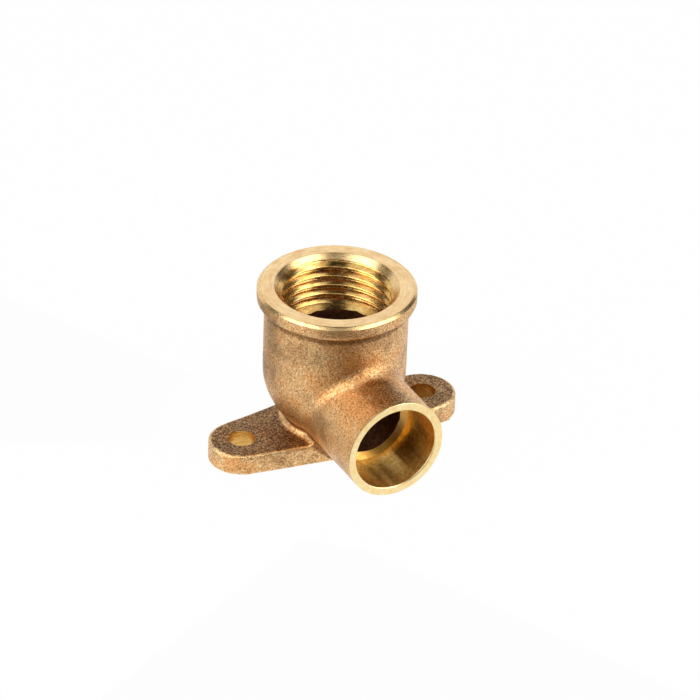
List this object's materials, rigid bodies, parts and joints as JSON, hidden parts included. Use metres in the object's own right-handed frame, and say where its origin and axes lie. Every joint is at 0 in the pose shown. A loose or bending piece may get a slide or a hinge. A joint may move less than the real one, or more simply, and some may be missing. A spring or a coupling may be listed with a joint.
{
  "type": "wall plate elbow",
  "caption": "Cast wall plate elbow with a threaded tap socket at right angles to a solder pipe socket, on a flat plate with screw ears.",
  "frame": {"origin": "where the tap socket's axis meets the plate's wall face", "axes": "+Z out of the wall along the tap socket's axis, -Y out of the pipe socket, X along the screw ears"},
  "size_m": [0.0472, 0.0364, 0.03],
  "materials": {
    "cast_bronze": "sand-cast skin with machined sockets and bead"
  },
  "bodies": {
    "root": {"elbow_body": "cast_bronze"}
  },
  "joints": []
}
